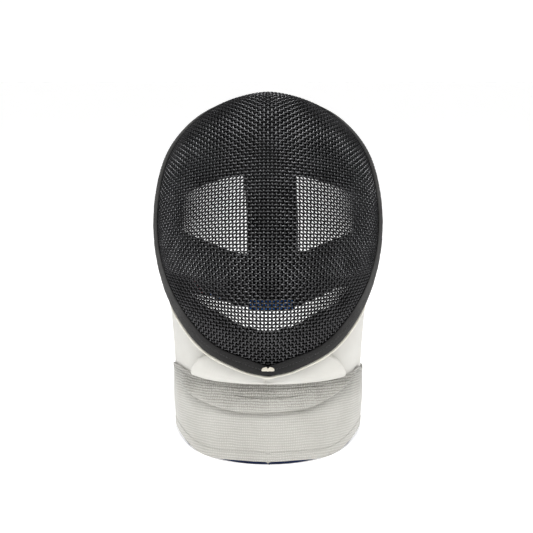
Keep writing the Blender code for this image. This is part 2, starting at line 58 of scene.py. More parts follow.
# Sections of the wire front at even steps from the chin to behind the crown: how far along,
# half width, and heights of its edge and of its middle line, as shares of the sizes above
DOME_SECTIONS = np.array([
    (0.000, 0.000, 0.000, 0.000),
    (0.024, 0.215, -0.030, 0.210),
    (0.095, 0.520, -0.115, 0.580),
    (0.206, 0.740, -0.235, 0.833),
    (0.345, 0.905, -0.385, 0.972),
    (0.500, 0.989, -0.385, 1.000),
    (0.655, 0.980, -0.228, 0.971),
    (0.794, 0.880, -0.099, 0.858),
    (0.905, 0.652, -0.029, 0.689),
    (0.976, 0.342, -0.030, 0.352),
    (1.000, 0.000, -0.005, -0.005),
    (0.976, -0.342, -0.030, -0.362),
])

WIRE_RADIUS = 0.00085
WIRE_CRIMP = 0.00075       # how far a wire swings out over the wire it crosses
WIRE_END = 0.0035          # how near to the mesh's edge the wires reach, inside the trim
WIRE_BEND = 0.23           # share of a pitch from a crossing to where the wire bends
# Share of the way up the ridge, degrees that a row leans there, millimetres from row to row
# and from wire to wire along the row
WIRE_ROWS = [(0.00, 2, 3.15, 3.22), (0.16, 3, 3.02, 3.22), (0.26, 6, 3.05, 3.25),
             (0.34, 11, 3.14, 3.42), (0.42, 15, 3.22, 3.50), (0.55, 21, 3.25, 3.50),
             (0.70, 27, 3.25, 3.50), (0.85, 33, 3.25, 3.50), (1.00, 40, 3.25, 3.50)]


def smooth_rows(rows, places):
    """Read a table between its rows on a smooth curve."""
    last = len(rows) - 2
    padded = np.vstack([2 * rows[0] - rows[1], rows, 2 * rows[-1] - rows[-2]])
    found = []
    for place in np.atleast_1d(places):
        start = min(max(int(place), 0), last)
        part = place - start
        before, here, after, beyond = padded[start:start + 4]
        found.append(0.5 * (2 * here + (after - before) * part
                            + (2 * before - 5 * here + 4 * after - beyond) * part ** 2
                            + (3 * here - before - 3 * after + beyond) * part ** 3))
    return np.array(found)


FINE_TURNS = np.linspace(0, math.pi, 721)
FINE_SECTIONS = smooth_rows(DOME_SECTIONS, FINE_TURNS / math.pi * 10)


def unit(vectors):
    return vectors / np.maximum(np.linalg.norm(vectors, axis=-1, keepdims=True), 1e-12)


def matched(*values):
    """The values as arrays of one shape."""
    return np.broadcast_arrays(*(np.asarray(value, float) for value in values))


def lengths_along(points):
    """How far each point of a route lies from its start."""
    return np.concatenate([[0], np.cumsum(np.linalg.norm(np.diff(points, axis=0), axis=1))])


def read_rows(places, known, rows):
    """A table's rows at the known places, read at places between them."""
    return np.column_stack([np.interp(places, known, column) for column in rows.T])


def swell(values, low, high):
    """0 below low, 1 above high, and a soft step between them."""
    share = np.clip((np.asarray(values, float) - low) / (high - low), 0, 1)
    return share * share * (3 - 2 * share)


def swell_round(spoke, low, high):
    """The same by degrees round the edge to either side of the chin."""
    return swell(np.abs(spoke), math.radians(low), math.radians(high))


def hump(values, middle, width):
    return np.exp(-((values - middle) / width) ** 2)


def dome(turn, swing):
    """Points on the middle of the wire front. turn runs from 0 at the chin to pi behind the
    crown, swing from minus to plus a quarter turn across it."""
    turn, swing = matched(turn, swing)
    along, half_width, edge, crest = (np.interp(turn, FINE_TURNS, column)
                                      for column in FINE_SECTIONS.T)
    held = np.clip(swing, -QUARTER, QUARTER)
    side = np.sin(held)
    straight = np.sqrt(side ** 2 + RIDGE_ROUNDING ** 2) - RIDGE_ROUNDING
    straight = straight / (math.sqrt(1 + RIDGE_ROUNDING ** 2) - RIDGE_ROUNDING)
    fall = MESH_RIDGE * straight + (1 - MESH_RIDGE) * (1 - np.abs(np.cos(held)))
    beyond = np.maximum(np.abs(swing) - QUARTER, 0) * EDGE_FALL
    height = crest + (edge - crest) * fall - beyond
    points = CHIN + MESH_LENGTH * along[..., None] * UP_THE_PLANE
    points = points + MESH_CREST * height[..., None] * OUT_OF_PLANE
    points[..., 0] += MESH_HALF_WIDTH * half_width * side
    return points


def dome_normal(turn, swing):
    """The outward direction of the wire front."""
    step = 0.01
    up = (dome(np.minimum(turn + step, math.pi), swing)
          - dome(np.maximum(np.asarray(turn) - step, 0), swing))
    low = np.maximum(np.asarray(swing) - step, -QUARTER)
    high = np.minimum(np.asarray(swing) + step, QUARTER)
    return unit(np.cross(dome(turn, high) - dome(turn, low), up))


def polar_to_section(spoke, inward):
    """The turn and swing of a point given round the edge from the chin and inwards from it."""
    ring = np.cos(inward)
    turn = np.arccos(np.clip(ring * np.cos(spoke), -1, 1))
    across = ring * np.sin(spoke)
    side = across / np.maximum(np.maximum(np.sin(turn), np.abs(across)), 1e-9)
    return turn, np.arcsin(np.clip(side, -1, 1))


def section_to_polar(turn, swing):
    """The way back: round the edge from the chin, and inwards from it."""
    across = np.sin(np.clip(swing, -QUARTER, QUARTER)) * np.sin(turn)
    ring = np.sqrt(np.clip(np.cos(turn) ** 2 + across ** 2, 0, 1))
    return np.arctan2(across, np.cos(turn)), np.arccos(ring)


def dome_from_edge(spoke, inward):
    return dome(*polar_to_section(spoke, inward))


def edge_speed(spoke):
    """Metres that a point moves in from the mesh's edge for each radian inwards."""
    step = 0.02
    gap = dome_from_edge(spoke, np.full_like(spoke, step)) - dome_from_edge(spoke, 0 * spoke)
    return np.linalg.norm(gap, axis=-1) / step


def edge_inward(spoke):
    """The direction in from the mesh's edge, square to it."""
    edge = dome_from_edge(spoke, 0 * spoke)
    along = unit(dome_from_edge(spoke + EDGE_STEP, 0 * spoke)
                 - dome_from_edge(spoke - EDGE_STEP, 0 * spoke))
    inward = dome_from_edge(spoke, 0 * spoke + EDGE_STEP) - edge
    return unit(inward - along * np.sum(inward * along, axis=-1, keepdims=True))


def near_edge(spoke, distance):
    """Points on the mesh at a distance in from its edge, or beyond it where negative."""
    spoke, distance = matched(spoke, distance)
    inside = dome_from_edge(spoke, np.maximum(distance, 0) / edge_speed(spoke))
    return inside + np.minimum(distance, 0)[..., None] * edge_inward(spoke)


def normal_near_edge(spoke, distance):
    distance = np.maximum(distance, 0)
    along = near_edge(spoke + EDGE_STEP, distance) - near_edge(spoke - EDGE_STEP, distance)
    inward = near_edge(spoke, distance + 0.0012) - near_edge(spoke, distance)
    return unit(np.cross(along, inward))


def edge_offset(spoke, along, out):
    """Points given along the mesh from its edge and out from its middle."""
    spoke, along, out = matched(spoke, along, out)
    return near_edge(spoke, along) + normal_near_edge(spoke, along) * out[..., None]


def set_mode(mode):
    bpy.ops.object.mode_set(mode=mode)


def deselect():
    if bpy.context.mode != "OBJECT":
        set_mode("OBJECT")
    bpy.ops.object.select_all(action="DESELECT")


def new_object(name, data):
    item = bpy.data.objects.new(name, data)
    bpy.context.scene.collection.objects.link(item)
    return item


def pick(piece):
    deselect()
    piece.select_set(True)
    bpy.context.view_layer.objects.active = piece


def name_piece(name):
    piece = bpy.context.object
    piece.name = name
    piece.data.name = name
    return piece


def read_points(piece):
    points = np.empty(len(piece.data.vertices) * 3)
    piece.data.vertices.foreach_get("co", points)
    return points.reshape(-1, 3)


def write_points(piece, points):
    piece.data.vertices.foreach_set("co", np.asarray(points, float).ravel())
    piece.data.update()


def grid(name, columns, rows):
    """A flat grid, with shares across and up, from 0 to 1, for each of its points."""
    deselect()
    bpy.ops.mesh.primitive_grid_add(x_subdivisions=columns, y_subdivisions=rows, size=1,
                                    calc_uvs=True)
    piece = name_piece(name)
    flat = read_points(piece) + 0.5
    return piece, flat[:, 0], flat[:, 1]


def lay_cloth(name, columns, rows, place):
    """A grid laid on a surface. place turns shares across and up into points."""
    piece, across, up = grid(name, columns, rows)
    write_points(piece, place(across, up))
    return piece


def modify(piece, kind, **settings):
    pick(piece)
    modifier = piece.modifiers.new(kind.lower(), kind)
    for setting, value in settings.items():
        setattr(modifier, setting, value)
    bpy.ops.object.modifier_apply(modifier=modifier.name)


def thicken(piece, wall):
    modify(piece, "SOLIDIFY", thickness=wall, offset=0.0, use_even_offset=True)


def round_edges(piece, width, segments=2, angle=50.0):
    modify(piece, "BEVEL", width=width, segments=segments, limit_method="ANGLE",
           angle_limit=math.radians(angle))


def smooth(piece, angle=60.0):
    pick(piece)
    bpy.ops.object.shade_smooth_by_angle(angle=math.radians(angle))


def face_out(piece):
    pick(piece)
    set_mode("EDIT")
    bpy.ops.mesh.select_all(action="SELECT")
    bpy.ops.mesh.normals_make_consistent(inside=False)
    set_mode("OBJECT")


def tubes(name, routes, radius, resolution=1):
    """Round threads or tubes along routes of points, made into one mesh."""
    route = bpy.data.curves.new(name, "CURVE")
    route.dimensions = "3D"
    route.bevel_depth = radius
    route.bevel_resolution = resolution
    route.use_fill_caps = True
    for points in routes:
        line = route.splines.new("POLY")
        line.points.add(len(points) - 1)
        line.points.foreach_set("co", np.column_stack([points, np.ones(len(points))]).ravel())
        line.use_smooth = True
    pick(new_object(name, route))
    bpy.ops.object.convert(target="MESH")
    return name_piece(name)


def stitches(route, normals, pitch=0.0030, share=0.66):
    """Routes of single stitches along a seam: each dips into the cloth at its ends."""
    lengths = lengths_along(route)
    count = int(lengths[-1] / pitch)
    heights = np.array([-0.35, 0.22, 0.22, -0.35]) * MM
    found = []
    for index in range(count):
        middle = (index + 0.5) * lengths[-1] / count
        places = middle + np.array([-0.5, -0.25, 0.25, 0.5]) * share * pitch
        out = unit(read_rows(places, lengths, normals))
        found.append(read_rows(places, lengths, route) + out * heights[:, None])
    return found


def dress(piece, finish, node, stands_for_it=True):
    """Give a piece its finish, attach it to the root body, and hide the imported solid that it
    stands for, if it does.
    """
    piece.data.materials.clear()
    piece.data.materials.append(finish)
    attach(piece, "root")
    if stands_for_it:
        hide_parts(node)
    return piece


def sew(name, cuts, place, wall, finish, node):
    """A finished piece of cloth of one thickness, laid on a surface."""
    piece = lay_cloth(name, *cuts, place)
    thicken(piece, wall)
    smooth(piece)
    return dress(piece, finish, node)


class Nodes:
    """Nodes added to a tree. Constant values sit on their own sockets."""

    def __init__(self, tree):
        self.tree = tree
        self.places = tree.nodes.new("ShaderNodeTexCoord")

    def add(self, kind, values, **settings):
        node = self.tree.nodes.new("ShaderNode" + kind)
        for setting, value in settings.items():
            setattr(node, setting, value)
        for socket, value in values.items():
            if isinstance(value, bpy.types.NodeSocket):
                self.tree.links.new(value, node.inputs[socket])
            else:
                node.inputs[socket].default_value = value
        return node

    def split(self, places="Object"):
        return self.add("SeparateXYZ", {0: self.places.outputs[places]}).outputs

    def spread(self, value, low, high, start, end):
        """A value between low and high, stretched to run from start to end."""
        return self.add("MapRange", {0: value, 1: low, 2: high, 3: start, 4: end}).outputs[0]

    def maths(self, operation, first, second=0.0, third=0.0):
        return self.add("Math", {0: first, 1: second, 2: third},
                        operation=operation).outputs[0]

    def times(self, first, second):
        return self.maths("MULTIPLY", first, second)

    def plus(self, value, share, rest):
        """A share of the value, on top of the rest."""
        return self.maths("MULTIPLY_ADD", value, share, rest)

    def blend(self, first, share, second):
        """A share of the first, and what is left of the second."""
        return self.plus(first, share, self.times(second, 1 - share))


class Finish(Nodes):
    """A finish for a surface, mixed from nodes. Sizes across a cloth are in millimetres."""

    def __init__(self, name, colour, roughness, **sockets):
        self.material = bpy.data.materials.new(name)
        self.material.use_nodes = True
        self.material.diffuse_color = (*colour, 1.0)
        super().__init__(self.material.node_tree)
        self.inputs = self.tree.nodes["Principled BSDF"].inputs
        self.inputs["Base Color"].default_value = (*colour, 1.0)
        self.inputs["Roughness"].default_value = roughness
        for socket, value in sockets.items():
            self.inputs[socket.replace("_", " ")].default_value = value

    def cloth_places(self, width, height):
        """Across and up the cloth, from its own UV map."""
        across, up, _ = self.split("UV")
        return self.times(across, width / MM), self.times(up, height / MM)

    def wave(self, place, pitch, shift=0.0):
        """A soft wave from 0 to 1 along a place."""
        turn = self.plus(place, 2 * math.pi / pitch, shift)
        return self.plus(self.maths("SINE", turn), 0.5, 0.5)

    def noise(self, scale, detail=3.0, roughness=0.55):
        return self.add("TexNoise", {"Vector": self.places.outputs["Object"], "Scale": scale,
                                     "Detail": detail, "Roughness": roughness}).outputs["Fac"]

    def tint(self, value, *stops):
        """Colour the surface by a value, through stops of a place and a colour."""
        node = self.add("ValToRGB", {"Fac": value})
        elements = node.color_ramp.elements
        while len(elements) < len(stops):
            elements.new(0.5)
        for element, (place, colour) in zip(elements, stops):
            element.position = place
            element.color = (*colour, 1.0)
        self.tree.links.new(node.outputs["Color"], self.inputs["Base Color"])

    def rough(self, value, low, high):
        self.tree.links.new(self.spread(value, 0.0, 1.0, low, high), self.inputs["Roughness"])

    def bump(self, *heights):
        """Raise the surface by each height, distance and strength, and hand back the finished
        material."""
        normal = None
        for height, distance, strength in heights:
            values = {"Height": height, "Distance": distance * MM, "Strength": strength}
            if normal is not None:
                values["Normal"] = normal
            normal = self.add("Bump", values).outputs["Normal"]
        self.tree.links.new(normal, self.inputs["Normal"])
        return self.material


def black_wire():
    """Black coated steel wire, a little greyer and smoother in random patches and specks."""
    finish = Finish("black_wire", (0.085, 0.085, 0.087), 0.30, Metallic=1.0,
                    Specular_Tint=(0.10, 0.10, 0.10, 1.0))
    grain = finish.noise(900.0)
    wide = finish.noise(45.0, 2.0)
    finish.tint(finish.blend(wide, 0.5, grain),
                (0.30, (0.038, 0.038, 0.039)), (0.70, (0.092, 0.092, 0.095)))
    finish.rough(grain, 0.19, 0.33)
    return finish.bump((grain, 0.05, 0.35))


def charcoal_binding():
    """Charcoal binding tape with a fine rib round the trim, painted lighter above the jaw:
    painted light up the sides, painted shade low at the chin.
    """
    finish = Finish("charcoal_binding", (0.040, 0.039, 0.039), 0.85, Specular_IOR_Level=0.25)
    around, across = finish.cloth_places(0.80, 0.040)
    weave = finish.times(finish.wave(across, 0.9), finish.wave(around, 0.8))
    fibres = finish.noise(1400.0)
    # painted light and shade: the tape is painted lighter from 90 mm to 145 mm over the floor,
    # so it is darker low at the chin and lighter up the sides
    painted_light_high = finish.spread(finish.split()["Z"], 0.090, 0.145, 0.0, 0.45)
    tone = finish.plus(finish.noise(60.0), 0.36, finish.plus(weave, 0.19, painted_light_high))
    finish.tint(tone, (0.15, (0.010, 0.010, 0.010)), (0.45, (0.024, 0.023, 0.023)),
                (0.85, (0.075, 0.074, 0.073)))
    finish.rough(fibres, 0.75, 0.95)
    return finish.bump((weave, 0.25, 0.6), (fibres, 0.12, 0.4))


def thread(name, colour, dark, light, fineness, strength):
    """Twisted sewing thread."""
    finish = Finish(name, colour, 0.55)
    twist = finish.noise(fineness, 2.0)
    finish.tint(twist, (0.3, dark), (0.7, light))
    return finish.bump((twist, 0.1, strength))


def black_thread():
    return thread("black_thread", (0.030, 0.030, 0.031), (0.018, 0.018, 0.019),
                  (0.050, 0.050, 0.051), 1800.0, 0.5)


def coloured_thread(name, colour):
    return thread(name, colour, tuple(value * 0.7 for value in colour), colour, 1600.0, 0.4)


def cream_piping():
    finish = Finish("cream_piping", (0.74, 0.70, 0.60), 0.70)
    finish.tint(finish.noise(90.0, 2.0), (0.3, (0.78, 0.75, 0.65)), (0.7, (0.88, 0.86, 0.78)))
    return finish.bump((finish.noise(1100.0), 0.15, 0.5))


def cream_webbing():
    finish = Finish("cream_webbing", (0.76, 0.71, 0.60), 0.75)
    across, _ = finish.cloth_places(0.0125, 0.0036)
    rib = finish.wave(across, 0.62)
    fibres = finish.noise(1500.0)
    finish.tint(finish.blend(rib, 0.5, fibres),
                (0.2, (0.62, 0.57, 0.46)), (0.75, (0.82, 0.78, 0.68)))
    return finish.bump((rib, 0.20, 0.7), (fibres, 0.1, 0.4))


def white_cloth(name, width, height):
    """Close woven white cloth with a fine diagonal and soft stains of wear."""
    finish = Finish(name, (0.80, 0.80, 0.77), 0.82, Sheen_Weight=0.15)
    twill = finish.wave(finish.maths("ADD", *finish.cloth_places(width, height)), 1.1)
    fibres = finish.noise(1300.0)
    wide = finish.noise(22.0, 4.0)
    finish.tint(finish.blend(twill, 0.15, wide),
                (0.25, (0.635, 0.620, 0.575)), (0.65, (0.710, 0.700, 0.660)))
    return finish.bump((twill, 0.10, 0.35), (fibres, 0.12, 0.35), (wide, 1.2, 0.25))


def silver_cloth():
    """Silver grey cloth woven with metal thread: fine level rows, broken up by threads across
    them, patches of wear, stronger fibres towards the top, and painted shade that darkens it
    towards the top, under the chin."""
    finish = Finish("silver_cloth", (0.56, 0.55, 0.52), 0.52, Metallic=0.15)
    across, up = finish.cloth_places(LAME_WIDTH, LAME_HEIGHT)
    spot = finish.split()
    wander = finish.noise(45.0)
    level = finish.plus(spot["Y"], 0.20, spot["Z"])
    level = finish.plus(level, 1 / MM, finish.times(wander, 3.4))
    threads = finish.wave(finish.plus(wander, 9.0, across), 1.9)
    broken = finish.times(finish.wave(level, 2.4), finish.plus(threads, 0.72, 0.28))
    fine = finish.times(finish.wave(level, 0.8), finish.wave(across, 0.8, 1.0))
    fibres = finish.noise(1100.0, 4.0, 0.75)
    worn = finish.noise(30.0, 5.0)
    # painted shade: high rises from 40 mm to 64 mm up the cloth and darkens it towards its top
    # (share -0.34 below), under the chin that overhangs it
    high = finish.spread(up, 40.0, 64.0, 0.0, 1.0)
    rougher = finish.times(finish.maths("SUBTRACT", fibres, 0.5), high)
    tone = 0.0
    for part, share in ((broken, 0.44), (fine, 0.14), (fibres, 0.46), (worn, 0.42),
                        (high, -0.34), (rougher, 1.1)):
        tone = finish.plus(part, share, tone)
    finish.tint(tone, (0.05, (0.155, 0.150, 0.132)), (0.48, (0.44, 0.43, 0.395)),
                (0.95, (0.63, 0.62, 0.585)))
    finish.rough(fine, 0.42, 0.62)
    return finish.bump((broken, 0.34, 0.6), (fine, 0.2, 0.5), (fibres, 0.20, 0.7))


def navy_cloth():
    finish = Finish("navy_cloth", (0.012, 0.030, 0.120), 0.80, Sheen_Weight=0.3)
    across, up = finish.cloth_places(0.30, 0.15)
    weave = finish.times(finish.wave(across, 0.9), finish.wave(up, 0.9))
    wide = finish.noise(40.0)
    finish.tint(finish.blend(weave, 0.4, wide),
                (0.2, (0.008, 0.020, 0.085)), (0.8, (0.018, 0.042, 0.160)))
    return finish.bump((weave, 0.2, 0.5), (wide, 1.0, 0.2))


def black_padding():
    """Soft black knit over foam."""
    finish = Finish("black_padding", (0.006, 0.006, 0.006), 0.92, Specular_IOR_Level=0.15)
    cells = finish.add("TexVoronoi", {"Vector": finish.places.outputs["Object"],
                                      "Scale": 520.0}).outputs["Distance"]
    wide = finish.noise(35.0, 4.0)
    finish.tint(wide, (0.3, (0.003, 0.003, 0.003)), (0.7, (0.006, 0.006, 0.006)))
    return finish.bump((cells, 0.30, 0.5), (wide, 1.5, 0.25))


def black_cover():
    """Smoother black cloth of the tongue."""
    finish = Finish("black_cover", (0.006, 0.006, 0.007), 0.80, Specular_IOR_Level=0.2)
    weave = finish.times(finish.noise(900.0), finish.noise(1300.0, 2.0))
    wide = finish.noise(30.0, 4.0)
    finish.tint(wide, (0.3, (0.004, 0.004, 0.005)), (0.7, (0.010, 0.010, 0.011)))
    return finish.bump((weave, 0.2, 0.6), (wide, 1.2, 0.2))


def blue_cloth():
    finish = Finish("blue_cloth", (0.015, 0.085, 0.420), 0.65)
    across, up = finish.cloth_places(0.043, 0.010)
    weave = finish.times(finish.wave(across, 0.8), finish.wave(up, 0.8))
    finish.tint(weave, (0.1, (0.060, 0.300, 0.950)), (0.9, (0.140, 0.420, 1.000)))
    return finish.bump((weave, 0.2, 0.6))


def black_elastic():
    """Woven elastic: ribs along its length, fine rungs across."""
    finish = Finish("black_elastic", (0.009, 0.009, 0.010), 0.75, Specular_IOR_Level=0.25)
    along, up = finish.cloth_places(0.235, 0.047)
    weave = finish.blend(finish.wave(up, 1.9), 0.6, finish.wave(along, 1.0))
    finish.tint(weave, (0.1, (0.005, 0.005, 0.005)), (0.9, (0.016, 0.016, 0.017)))
    return finish.bump((weave, 0.35, 0.7), (finish.noise(1200.0), 0.1, 0.4))


def row_nodes():
    """Where the wires cross on the right half: turns and swings, rows up the ridge by columns
    out from it. Each row lies in a leaning plane, with crossings a pitch apart. Each column is
    found from the last by Newton's steps on the pitch and on the drift off the plane."""
    ridge_turns = np.linspace(0, math.pi, 2001)
    lengths = lengths_along(dome(ridge_turns, 0.0))
    shares, leans, row_steps, wire_steps = np.array(WIRE_ROWS).T
    starts = [row_steps[0] * MM]
    while starts[-1] < lengths[-1] - 2 * row_steps[-1] * MM:
        starts.append(starts[-1] + np.interp(starts[-1] / lengths[-1], shares, row_steps) * MM)
    starts = np.array(starts)
    tilt = np.radians(np.interp(starts / lengths[-1], shares, leans))
    pitch = np.interp(starts / lengths[-1], shares, wire_steps) * MM
    level = np.column_stack([0 * tilt, np.sin(tilt), np.cos(tilt)])
    turns = [np.interp(starts, lengths, ridge_turns)] * 2
    swings = [np.full(len(starts), -0.04), np.zeros(len(starts))]
    origin = dome(turns[0], 0.0)
    going = np.ones(len(starts), bool)
    step = 1e-4
    weight = 0.01
    longest = 0.08
    past_edge = 1.62
    while going.any():
        turn, swing = 2 * turns[-1] - turns[-2], 2 * swings[-1] - swings[-2]
        last = dome(turns[-1], swings[-1])
        for _ in range(20):
            here = dome(turn, swing)
            reach = np.sum((here - last) ** 2, axis=1) - pitch ** 2
            drift = np.sum((here - origin) * level, axis=1) * weight
            by_turn = (dome(turn + step, swing) - here) / step
            by_swing = (dome(turn, swing + step) - here) / step
            a = 2 * np.sum((here - last) * by_turn, axis=1)
            b = 2 * np.sum((here - last) * by_swing, axis=1)
            c = np.sum(by_turn * level, axis=1) * weight
            d = np.sum(by_swing * level, axis=1) * weight
            area = a * d - b * c
            area = np.where(np.abs(area) < 1e-16, 1e-16, area)
            turn_step = (b * drift - d * reach) / area
            swing_step = (c * reach - a * drift) / area
            size = np.maximum(np.maximum(np.abs(turn_step), np.abs(swing_step)), 1e-12)
            held = np.minimum(1.0, longest / size)
            turn = np.clip(turn + turn_step * held, 0, math.pi)
            swing = np.clip(swing + swing_step * held, -1, 2)
        met = (np.abs(reach) < 1e-9) & (np.abs(drift) < 1e-8)
        going = going & met & (swing > swings[-1]) & (swing < past_edge)
        turns.append(np.where(going, turn, np.nan))
        swings.append(np.where(going, swing, np.nan))
    return np.array(turns[1:]).T, np.array(swings[1:]).T


def wire_lattice():
    """Crossings of both halves with their outward directions, and which of them are there."""
    with np.errstate(invalid="ignore"):
        turns, swings = row_nodes()
        kept = np.isfinite(turns)
        turns, swings = np.where(kept, turns, 1.0), np.where(kept, swings, 0.0)
        spoke, inward = section_to_polar(turns, swings)
        kept &= (inward * edge_speed(spoke) > WIRE_END) & (swings <= QUARTER)
    points, normals = dome(turns, swings), dome_normal(turns, swings)
    mirror = np.array([-1.0, 1.0, 1.0])
    points = np.concatenate([points[:, :0:-1] * mirror, points], axis=1)
    normals = np.concatenate([normals[:, :0:-1] * mirror, normals], axis=1)
    kept = np.concatenate([kept[:, :0:-1], kept], axis=1)
    return points, normals, kept


def weave_wires(name, points, normals, kept, over):
    """All wires that run along the second axis of the lattice, as one mesh of round wires.
    over is 1 where the even crossings of even wires swing outwards, or -1."""
    wires, crossings = kept.shape
    last = 2 * crossings - 1
    piece, across, up = grid(name, last, wires - 1)
    column = np.rint(across * last).astype(int)
    wire = np.rint(up * (wires - 1)).astype(int)
    crossing = column // 2
    before = np.maximum(crossing - 1, 0)
    after = np.minimum(crossing + 1, crossings - 1)
    before = np.where(kept[wire, before], before, crossing)
    after = np.where(kept[wire, after], after, crossing)
    along = (points[wire, after] - points[wire, before]) / np.maximum(after - before, 1)[:, None]
    lean = np.where(column % 2 == 0, -WIRE_BEND, WIRE_BEND)
    swing = over * WIRE_CRIMP * np.where((wire + crossing) % 2 == 0, 1.0, -1.0)
    places = points[wire, crossing] + along * lean[:, None]
    write_points(piece, places + normals[wire, crossing] * swing[:, None])
    ends = np.empty(len(piece.data.edges) * 2, int)
    piece.data.edges.foreach_get("vertices", ends)
    ends = ends.reshape(-1, 2)
    remove_parts(piece, "EDGE", wire[ends[:, 0]] != wire[ends[:, 1]], "EDGE_FACE")
    remove_parts(piece, "VERT", ~kept[wire, crossing], "VERT")
    pick(piece)
    bpy.ops.object.convert(target="CURVE")
    curve = bpy.context.object.data
    curve.dimensions = "3D"
    curve.bevel_depth = WIRE_RADIUS
    curve.bevel_resolution = 1
    curve.use_fill_caps = True
    bpy.ops.object.convert(target="MESH")
    piece = name_piece(name)
    bpy.ops.object.shade_smooth()
    return piece


def remove_parts(piece, kind, chosen, what):
    """Delete the chosen vertices or edges of a piece in edit mode."""
    pick(piece)
    set_mode("EDIT")
    bpy.ops.mesh.select_mode(type=kind)
    bpy.ops.mesh.select_all(action="DESELECT")
    set_mode("OBJECT")
    parts = piece.data.vertices if kind == "VERT" else piece.data.edges
    parts.foreach_set("select", chosen.astype(bool))
    set_mode("EDIT")
    bpy.ops.mesh.delete(type=what)
    set_mode("OBJECT")


def make_wire_front():
    points, normals, kept = wire_lattice()
    finish = black_wire()
    across = weave_wires("cross_wires", points, normals, kept, 1.0)
    upright = weave_wires("upright_wires", points.transpose(1, 0, 2),
                          normals.transpose(1, 0, 2), kept.T, -1.0)
    for piece in (across, upright):
        dress(piece, finish, "wire_mesh")


# The folded trim's section in millimetres: along the mesh from its edge, and out from it
TRIM_SECTION = np.array([
    (10.5, 1.5), (10.9, 2.5), (10.7, 3.7), (10.0, 4.6), (8.9, 4.85), (8.2, 4.55), (7.4, 4.95),
    (5.2, 5.3), (2.8, 5.35), (0.4, 5.1), (-1.3, 4.45), (-2.5, 3.3), (-2.95, 1.9),
    (-2.95, 0.3), (-2.85, -1.2), (-2.2, -2.5), (-0.9, -3.15), (1.5, -3.35), (4.5, -3.35),
    (7.5, -3.30), (9.4, -3.15), (10.4, -2.5), (10.5, -1.5), (7.0, -1.5), (-0.5, -1.5),
    (-0.5, 1.5), (7.0, 1.5),
]) * MM
TRIM_SEAM = 0.0082         # of the stitched line from the mesh's edge
SEAM_OUT = 0.00472         # of the stitched line from the mesh's middle
JAW_WIDER = 0.70           # share by which the trim reaches further in under the jaws
LOW_SHORTER = 0.50         # shares by which its outer side is slimmer and thinner low down
LOW_THINNER = 0.20
TAB_HALF_ANGLE = math.radians(4.1)
TAB_HALF_HEIGHT = 0.0016
TAB_MIDDLE = 0.0109        # of the tab's middle from the mesh's edge
TAB_OUT = 0.0049


def trim_place(spoke, along, out):
    """Points of the trim and of what is sewn to it. Under the jaw it reaches further in, and
    its outer side is slimmer."""
    lower = 1 - swell_round(spoke, 70, 100)
    jaw = swell_round(spoke, 2, 50) * (1 - swell_round(spoke, 66, 98))
    along = along * np.where(along > 0, 1 + JAW_WIDER * jaw * (out > 0), 1 - LOW_SHORTER * lower)
    return edge_offset(spoke, along, out * np.where(out > 0, 1 - LOW_THINNER * lower, 1.0))


def make_trim():
    """A ring laid round the edge and pressed to the folded trim's section."""
    corners = len(TRIM_SECTION)
    deselect()
    bpy.ops.mesh.primitive_torus_add(major_segments=320, minor_segments=corners,
                                     major_radius=1.0, minor_radius=0.25, generate_uvs=True)
    piece = name_piece("padded_trim")
    ring = read_points(piece)
    spoke = np.arctan2(ring[:, 1], ring[:, 0])
    turn = np.arctan2(ring[:, 2], np.hypot(ring[:, 0], ring[:, 1]) - 1.0)
    corner = np.rint(turn / (2 * math.pi / corners)).astype(int) % corners
    along, out = TRIM_SECTION[corner].T
    soft = 0.00010 * np.sin(spoke * 97) + 0.00008 * np.sin(spoke * 41 + 1.0)
    out = out + soft * (out > 0.002) * (along < TRIM_SEAM - 0.0005)
    write_points(piece, trim_place(spoke, along, out))
    face_out(piece)
    smooth(piece, 75)
    dress(piece, charcoal_binding(), "edge_trim")
    spokes = np.linspace(-math.pi, math.pi, 721)
    seam = stitches(trim_place(spokes, TRIM_SEAM, SEAM_OUT), normal_near_edge(spokes, TRIM_SEAM))
    dress(tubes("trim_stitches", seam, 0.00022), black_thread(), "edge_trim", False)


def make_piping():
    """Cream piping under the trim, past the chin from jaw corner to jaw corner. Its ends are
    tucked in behind the trim."""
    spokes = np.radians(np.linspace(-70, 70, 181))
    tucked = 0.0036 * swell_round(spokes, 57, 69)
    piece = tubes("cream_piping", [trim_place(spokes, -0.0038, 0.0054 - tucked)], 0.00145, 3)
    points = read_points(piece)
    points[:, 2] += 0.00005 * np.sin(points[:, 0] * 2 * math.pi / 0.0035)
    write_points(piece, points)
    smooth(piece)
    dress(piece, cream_piping(), "bib_piping")


def make_tab():
    """The small cream tab where the trim's two sides meet, with a notch in its top."""
    def place(across, up):
        share = 2 * across - 1
        half = TAB_HALF_HEIGHT * (0.22 + 0.78 * np.sqrt(np.maximum(1 - share ** 2, 0)))
        notch = 0.0010 * hump(share, 0, 0.13) * up
        along = TAB_MIDDLE - 0.0022 * np.abs(share) + half * (2 * up - 1) - notch
        crown = 0.0004 * (1 - share ** 2) * np.sin(np.pi * up)
        return edge_offset(TAB_HALF_ANGLE * share, along, TAB_OUT + crown)
    piece = lay_cloth("chin_tab_webbing", 24, 8, place)
    thicken(piece, 0.0012)
    round_edges(piece, 0.0003)
    face_out(piece)
    smooth(piece)
    dress(piece, cream_webbing(), "chin_tab")


BIB_HALF_WIDTH = 0.0877
BIB_DEPTH = 0.108
BIB_SQUARENESS = 1.05
BIB_FLARE = 2.7
BIB_FRONT = 0.0023
BIB_END = math.radians(95)
LAME_WIDTH = 0.300
LAME_HEIGHT = 0.072
TOP_HEM = 0.935            # where the silver cloth's hems are stitched, as shares of its height
LOW_HEM = 0.115
PANEL_SEAM = 0.484         # of the panel's middle seam, as a share of its width
